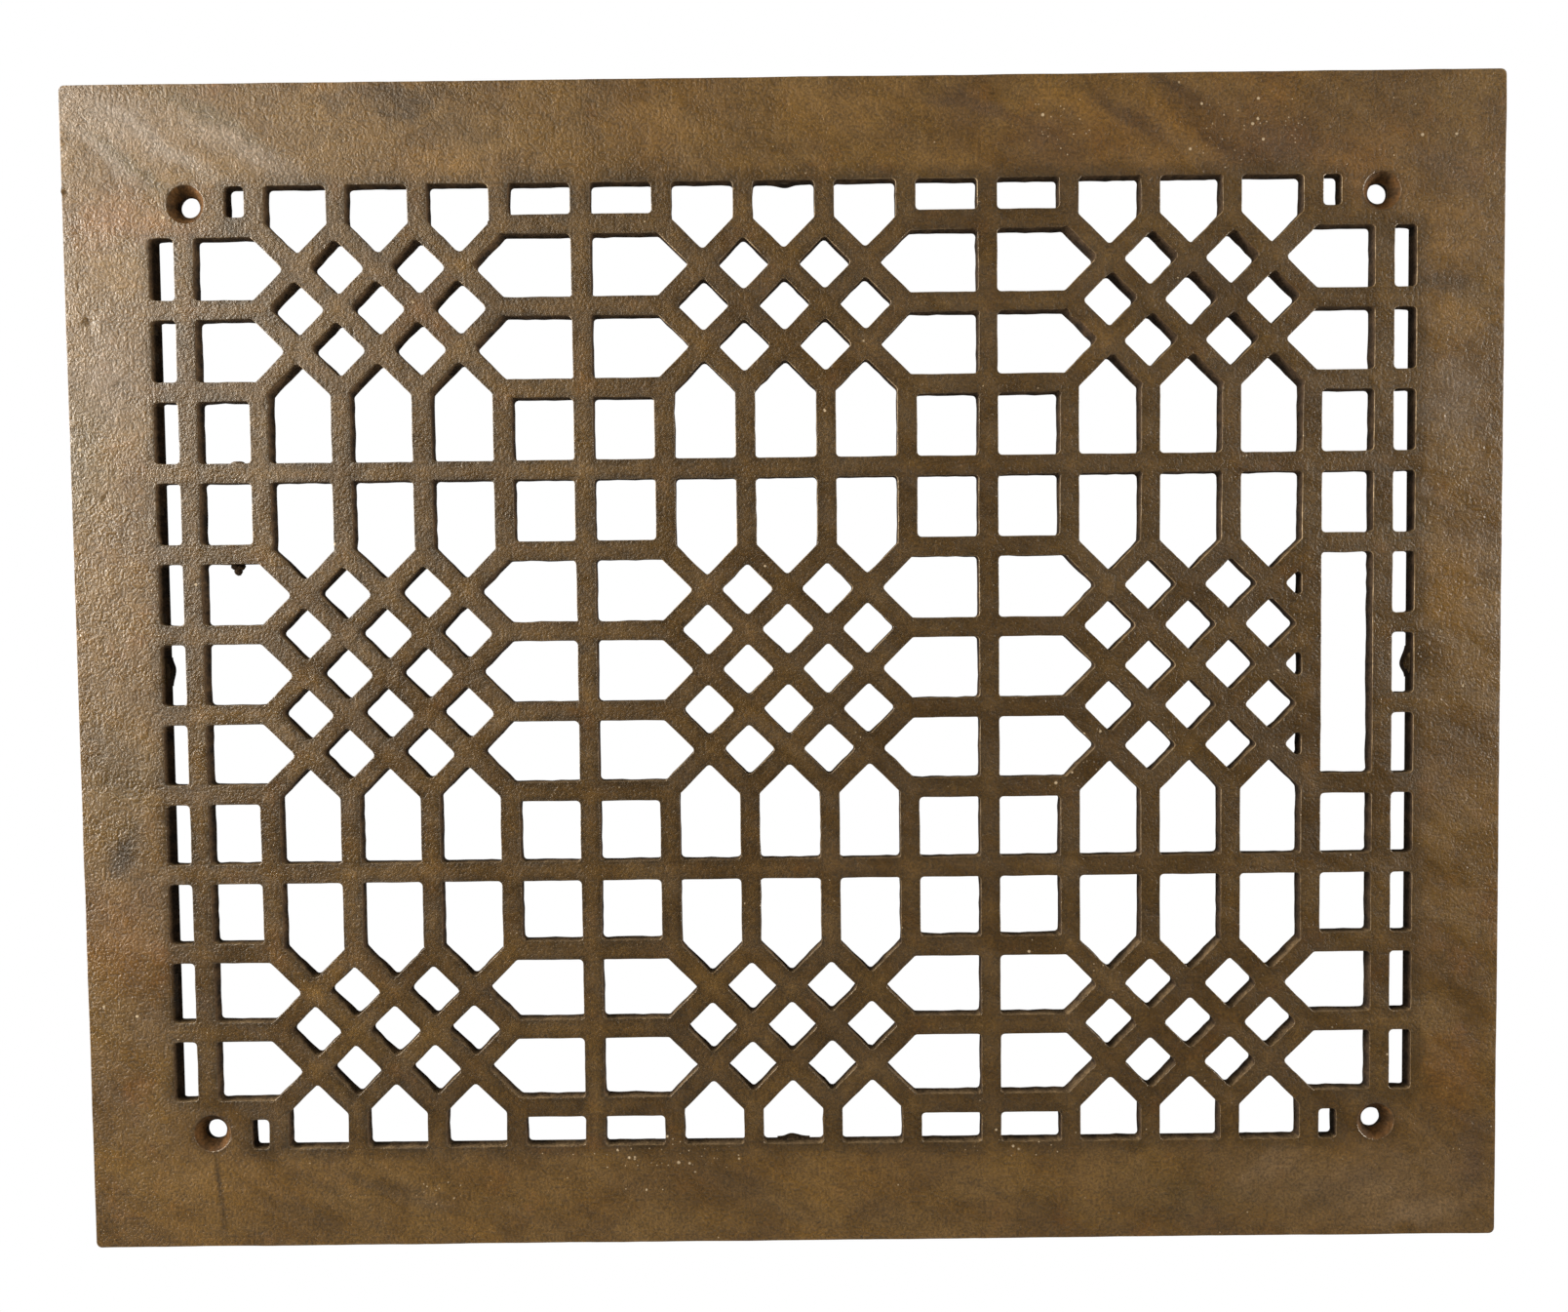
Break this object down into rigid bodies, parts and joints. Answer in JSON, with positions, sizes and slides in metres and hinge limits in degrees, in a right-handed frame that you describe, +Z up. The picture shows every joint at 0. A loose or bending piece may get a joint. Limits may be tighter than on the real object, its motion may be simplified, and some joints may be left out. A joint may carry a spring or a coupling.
{
  "type": "cast iron return air grille",
  "caption": "Flat cast iron air grille: a plain bordered plate pierced by a lattice of octagonal medallions, with four countersunk screw holes and a tall lever slot.",
  "frame": {"origin": "middle of the grille, in the plane of the border's back, which bears on the wall", "axes": "+X right and +Z up as the grille stands in a wall; the front looks towards -Y and the wall is on the +Y side"},
  "size_m": [0.435, 0.0065, 0.356],
  "materials": {
    "brown_iron": "old brown cast iron, sand grained, with soft rust mottling and a low sheen"
  },
  "bodies": {
    "root": {"grille": "brown_iron"}
  },
  "joints": []
}
